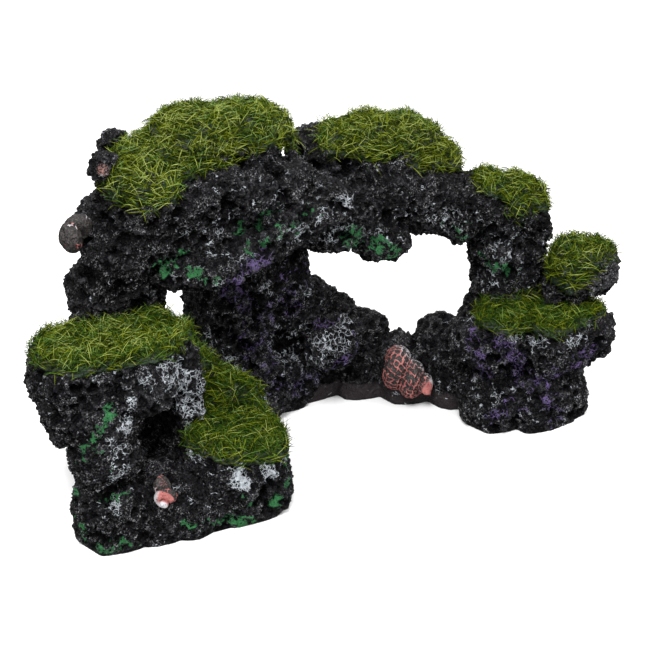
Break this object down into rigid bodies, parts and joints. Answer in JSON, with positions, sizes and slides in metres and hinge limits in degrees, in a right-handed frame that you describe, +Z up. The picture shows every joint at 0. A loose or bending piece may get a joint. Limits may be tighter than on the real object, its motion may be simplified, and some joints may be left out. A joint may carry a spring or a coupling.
{
  "type": "resin cave ornament",
  "caption": "Black cast resin rock cave for an aquarium: a crescent with an arched window, a front grotto, a rear passage, mossy ledges and shells.",
  "frame": {"origin": "middle of the footprint, on the surface that the ornament stands on", "axes": "+X along the crescent to the low right block, +Y from the open front to the back, +Z up"},
  "size_m": [0.3114, 0.135, 0.1808],
  "materials": {
    "rock_black": "matte",
    "rock_white_paint": "matte",
    "rock_green_paint": "matte",
    "rock_purple_paint": "matte",
    "adhesive_bed": "satin",
    "artificial_grass": "matte",
    "painted_shell": "matte",
    "painted_pebble": "matte"
  },
  "bodies": {
    "root": {"front_left_tower": "rock_white_paint", "front_left_slab": "rock_white_paint", "front_step_boulder": "rock_white_paint", "rear_left_leg": "rock_black", "rear_left_head": "rock_black", "brow_ridge": "rock_green_paint", "centre_column": "rock_purple_paint", "lace_knob": "rock_purple_paint", "arch_beam": "rock_green_paint", "right_column": "rock_black", "right_step_block": "rock_black", "right_block": "rock_purple_paint", "right_spur": "rock_black", "base_sill": "rock_purple_paint", "head_bed": "adhesive_bed", "beam_bed": "adhesive_bed", "step_block_bed": "adhesive_bed", "spur_bed": "adhesive_bed", "ledge_bed": "adhesive_bed", "slab_bed": "adhesive_bed", "front_step_bed": "adhesive_bed", "head_grass": "artificial_grass", "beam_grass": "artificial_grass", "step_block_grass": "artificial_grass", "spur_grass": "artificial_grass", "ledge_grass": "artificial_grass", "slab_grass": "artificial_grass", "front_step_grass": "artificial_grass", "grass_tuft": "artificial_grass", "turban_shell": "painted_shell", "grotto_shell": "painted_shell", "side_shell": "painted_shell", "edge_pebbles": "painted_pebble"}
  },
  "joints": []
}
